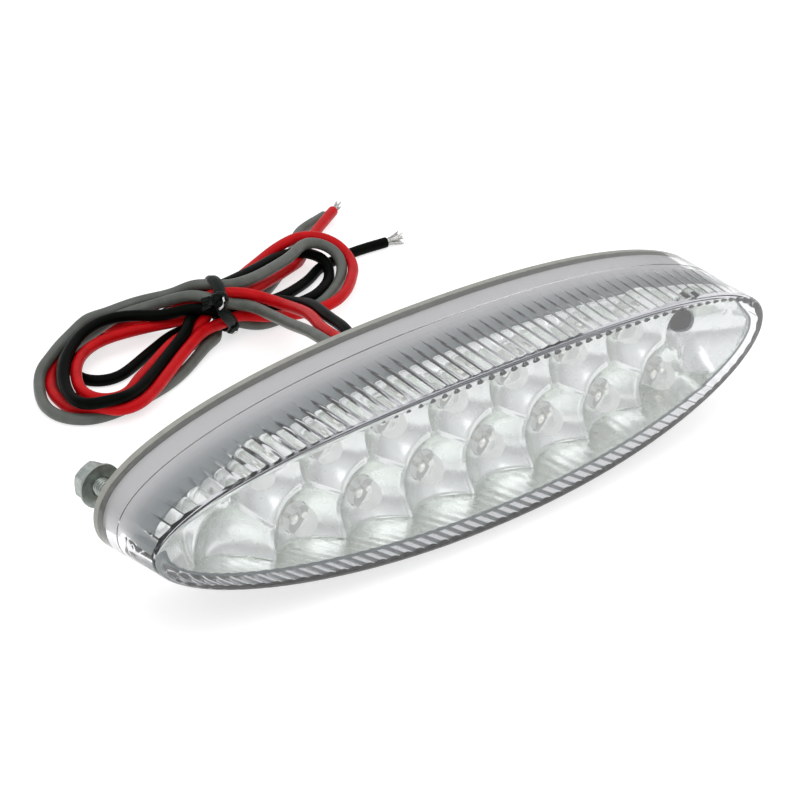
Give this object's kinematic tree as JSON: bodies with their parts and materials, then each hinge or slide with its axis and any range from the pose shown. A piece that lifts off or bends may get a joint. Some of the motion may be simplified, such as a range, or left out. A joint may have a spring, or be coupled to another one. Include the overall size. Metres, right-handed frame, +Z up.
{
  "type": "motorcycle tail light",
  "caption": "Slim oval LED tail light with a clear fluted lens, a bowed front, rear mounting studs and a tied hank of wires.",
  "frame": {"origin": "on the floor, under the middle of the lamp and its fasteners", "axes": "+X along the lamp, +Y out of the mounting face towards the wires, +Z up"},
  "size_m": [0.122, 0.115, 0.0316],
  "materials": {
    "clear_lens": "gloss",
    "base": "satin",
    "reflector": "mirror",
    "board": "satin",
    "led": "gloss",
    "chip": "matte",
    "zinc": "satin",
    "grommet": "matte",
    "wire_red": "satin",
    "wire_grey": "satin",
    "wire_black": "satin",
    "wire_mixed": "satin",
    "tinned": "satin",
    "tie": "satin"
  },
  "bodies": {
    "lamp": {"lens": "clear_lens", "base_plate": "base", "reflector": "reflector", "circuit_board": "board", "led_01": "led", "led_02": "led", "led_03": "led", "led_04": "led", "led_05": "led", "led_06": "led", "led_07": "led", "led_08": "led", "led_09": "led", "led_10": "led", "led_11": "led", "led_12": "led", "led_13": "led", "led_14": "led", "resistor_1": "chip", "resistor_2": "chip", "resistor_3": "chip", "diode_1": "chip", "stud_left": "zinc", "stud_right": "zinc", "grommet": "grommet", "lead_red": "wire_red", "lead_grey": "wire_grey", "lead_black": "wire_black", "tail_red": "wire_red", "tail_grey": "wire_grey", "tail_black": "wire_black", "strand_red": "tinned", "strand_grey": "tinned", "strand_black": "tinned", "wire_hank": "wire_mixed", "twist_tie": "tie"},
    "washer_left": {"washer_left": "zinc"},
    "nut_left": {"nut_left": "zinc"},
    "washer_right": {"washer_right": "zinc"},
    "nut_right": {"nut_right": "zinc"}
  },
  "joints": [
    {"name": "washer_left_slide", "type": "slide", "parent": "lamp", "child": "washer_left", "axis": [0, -1, 0], "range_m": [0, 0.006]},
    {"name": "nut_left_turn", "type": "hinge", "parent": "washer_left", "child": "nut_left", "pos_m": [-0.0545, 0.01415, 0.0158], "axis": [0, -1, 0], "range_deg": [0, 4320]},
    {"name": "washer_right_slide", "type": "slide", "parent": "lamp", "child": "washer_right", "axis": [0, -1, 0], "range_m": [0, 0.006]},
    {"name": "nut_right_turn", "type": "hinge", "parent": "washer_right", "child": "nut_right", "pos_m": [0.0545, 0.01415, 0.0158], "axis": [0, -1, 0], "range_deg": [0, 4320]}
  ],
  "couplings": [
    {"joint": "nut_left_turn", "follows": "washer_left_slide", "rad_per_m": 12566},
    {"joint": "nut_right_turn", "follows": "washer_right_slide", "rad_per_m": 12566}
  ]
}
